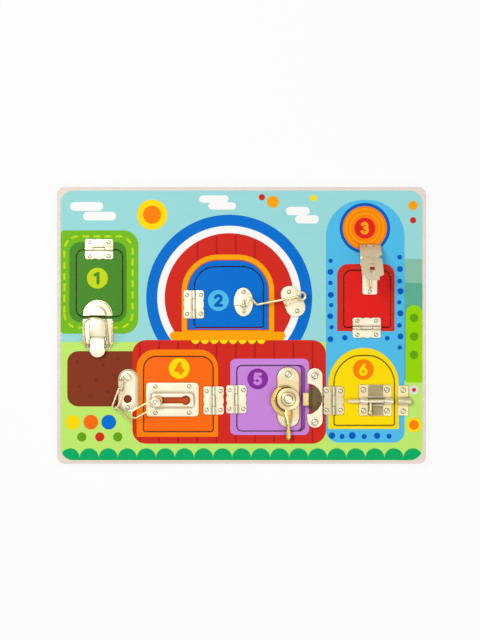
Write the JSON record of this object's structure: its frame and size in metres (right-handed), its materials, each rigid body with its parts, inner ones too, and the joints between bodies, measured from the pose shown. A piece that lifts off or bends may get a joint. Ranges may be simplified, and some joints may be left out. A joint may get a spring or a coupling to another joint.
{
  "type": "latch board",
  "caption": "Flat wooden activity board with numbered hinged doors, each held shut by a different kind of working metal latch.",
  "frame": {"origin": "middle of the back face, which lies on the table", "axes": "+X to the right along the long edge, +Y up the picture, +Z out of the face with the latches"},
  "size_m": [0.4, 0.3, 0.0554],
  "materials": {
    "back_wood": "bare plywood, sanded",
    "front_wood": "plywood with a printed and clear coated face",
    "door_1_wood": "plywood, green print, clear coated",
    "door_2_wood": "plywood, blue print, clear coated",
    "door_3_wood": "plywood, red print, clear coated",
    "door_4_wood": "plywood, orange print, clear coated",
    "door_5_wood": "plywood, purple print, clear coated",
    "door_6_wood": "plywood, yellow print, clear coated",
    "brass_plate": "pale brass plated steel, bright",
    "matt_plate": "pale brass plated steel, matt",
    "spring_steel": "plated spring wire"
  },
  "bodies": {
    "board": {"back_panel": "back_wood", "front_panel": "front_wood", "hinge_pins": "brass_plate", "hinge_1_board_leaf": "brass_plate", "hinge_2_board_leaf": "brass_plate", "hinge_3_board_leaf": "brass_plate", "hinge_4_board_leaf": "brass_plate", "hinge_5_board_leaf": "brass_plate", "hinge_6_board_leaf": "matt_plate", "toggle_base": "brass_plate", "toggle_lever_pin": "brass_plate", "eye_plate": "brass_plate", "eye_staple": "brass_plate", "hasp_leaf": "brass_plate", "chain_anchor": "brass_plate", "chain_rivet": "brass_plate", "sash_keeper": "brass_plate", "bolt_keeper": "matt_plate"},
    "door 1": {"door_1": "door_1_wood", "hinge_1_door_leaf": "brass_plate", "toggle_strike": "brass_plate"},
    "door 2": {"door_2": "door_2_wood", "hinge_2_door_leaf": "brass_plate", "hook_plate": "brass_plate", "hook_staple": "brass_plate"},
    "door 3": {"door_3": "door_3_wood", "hinge_3_door_leaf": "brass_plate", "hasp_staple_plate": "brass_plate", "hasp_staple": "brass_plate"},
    "door 4": {"door_4": "door_4_wood", "hinge_4_door_leaf": "brass_plate", "chain_track": "brass_plate"},
    "door 5": {"door_5": "door_5_wood", "hinge_5_door_leaf": "brass_plate", "sash_base": "brass_plate", "sash_rivet": "brass_plate"},
    "door 6": {"door_6": "door_6_wood", "hinge_6_door_leaf": "matt_plate", "bolt_plate": "matt_plate"},
    "toggle lever": {"toggle_lever": "brass_plate"},
    "bail springs": {"toggle_springs": "spring_steel"},
    "bail": {"toggle_bail": "brass_plate"},
    "hook": {"hook": "brass_plate"},
    "hasp strap": {"hasp_strap": "brass_plate"},
    "slider knob": {"chain_knob": "brass_plate"},
    "knob link": {"chain_knob_link": "brass_plate"},
    "chain link 1": {"chain_link_1": "brass_plate"},
    "chain link 2": {"chain_link_2": "brass_plate"},
    "chain link 3": {"chain_link_3": "brass_plate"},
    "chain link 4": {"chain_link_4": "brass_plate"},
    "cam": {"sash_cam": "brass_plate"},
    "bolt": {"bolt": "brass_plate"}
  },
  "joints": [
    {"name": "door_1_hinge", "type": "hinge", "parent": "board", "child": "door 1", "pos_m": [-0.1544, 0.0826, 0.0127], "axis": [-1, 0, 0], "range_deg": [0, 120]},
    {"name": "door_2_hinge", "type": "hinge", "parent": "board", "child": "door 2", "pos_m": [-0.0517, 0.0227, 0.0127], "axis": [0, -1, 0], "range_deg": [0, 120]},
    {"name": "door_3_hinge", "type": "hinge", "parent": "board", "child": "door 3", "pos_m": [0.1357, -0.0026, 0.0127], "axis": [1, 0, 0], "range_deg": [0, 120]},
    {"name": "door_4_hinge", "type": "hinge", "parent": "board", "child": "door 4", "pos_m": [-0.0303, -0.0815, 0.0127], "axis": [0, 1, 0], "range_deg": [0, 120]},
    {"name": "door_5_hinge", "type": "hinge", "parent": "board", "child": "door 5", "pos_m": [-0.0056, -0.0802, 0.0127], "axis": [0, 1, 0], "range_deg": [-120, 0]},
    {"name": "door_6_hinge", "type": "hinge", "parent": "board", "child": "door 6", "pos_m": [0.0998, -0.0816, 0.0127], "axis": [0, -1, 0], "range_deg": [0, 120]},
    {"name": "lever_pivot", "type": "hinge", "parent": "board", "child": "toggle lever", "pos_m": [-0.1558, -0.0155, 0.0149], "axis": [-1, 0, 0], "range_deg": [0, 110]},
    {"name": "bail_carry", "type": "hinge", "parent": "toggle lever", "child": "bail springs", "pos_m": [-0.1558, -0.0225, 0.0149], "axis": [1, 0, 0], "range_deg": [0, 110]},
    {"name": "bail_pivot", "type": "hinge", "parent": "bail springs", "child": "bail", "pos_m": [-0.1558, -0.0225, 0.0149], "axis": [1, 0, 0], "range_deg": [-48, 112]},
    {"name": "hook_pivot", "type": "hinge", "parent": "door 2", "child": "hook", "pos_m": [0.0025, 0.0212, 0.0163], "axis": [0, 1, 0], "range_deg": [-150, 0]},
    {"name": "hasp_pivot", "type": "hinge", "parent": "board", "child": "hasp strap", "pos_m": [0.1391, 0.0856, 0.013], "axis": [-1, 0, 0], "range_deg": [-47, 123]},
    {"name": "knob_slide", "type": "slide", "parent": "door 4", "child": "slider knob", "axis": [1, 0, 0], "range_m": [0, 0.0306]},
    {"name": "knob_link_turn", "type": "hinge", "parent": "slider knob", "child": "knob link", "pos_m": [-0.09225, -0.08266, 0.0214], "axis": [0, 0, 1], "range_deg": [-25, 25]},
    {"name": "chain_link_1_turn", "type": "hinge", "parent": "board", "child": "chain link 1", "pos_m": [-0.1234, -0.0559, 0.0164], "axis": [0, 0, 1], "range_deg": [-15, 8]},
    {"name": "chain_link_2_turn", "type": "hinge", "parent": "chain link 1", "child": "chain link 2", "pos_m": [-0.12811, -0.0581, 0.0164], "axis": [0, 0, 1], "range_deg": [-10, 10]},
    {"name": "chain_link_3_turn", "type": "hinge", "parent": "chain link 2", "child": "chain link 3", "pos_m": [-0.12957, -0.06759, 0.0164], "axis": [0, 0, 1], "range_deg": [-1, 20]},
    {"name": "chain_link_4_turn", "type": "hinge", "parent": "chain link 3", "child": "chain link 4", "pos_m": [-0.13668, -0.08692, 0.0164], "axis": [0, 0, 1], "range_deg": [-20, 20]},
    {"name": "cam_turn", "type": "hinge", "parent": "door 5", "child": "cam", "pos_m": [0.0506, -0.0798, 0.011], "axis": [0, 0, -1], "range_deg": [0, 180]},
    {"name": "bolt_slide", "type": "slide", "parent": "door 6", "child": "bolt", "axis": [1, 0, 0], "range_m": [0, 0.012]}
  ],
  "couplings": [
    {"joint": "lever_pivot", "follows": "bail_carry", "ratio": 1}
  ]
}
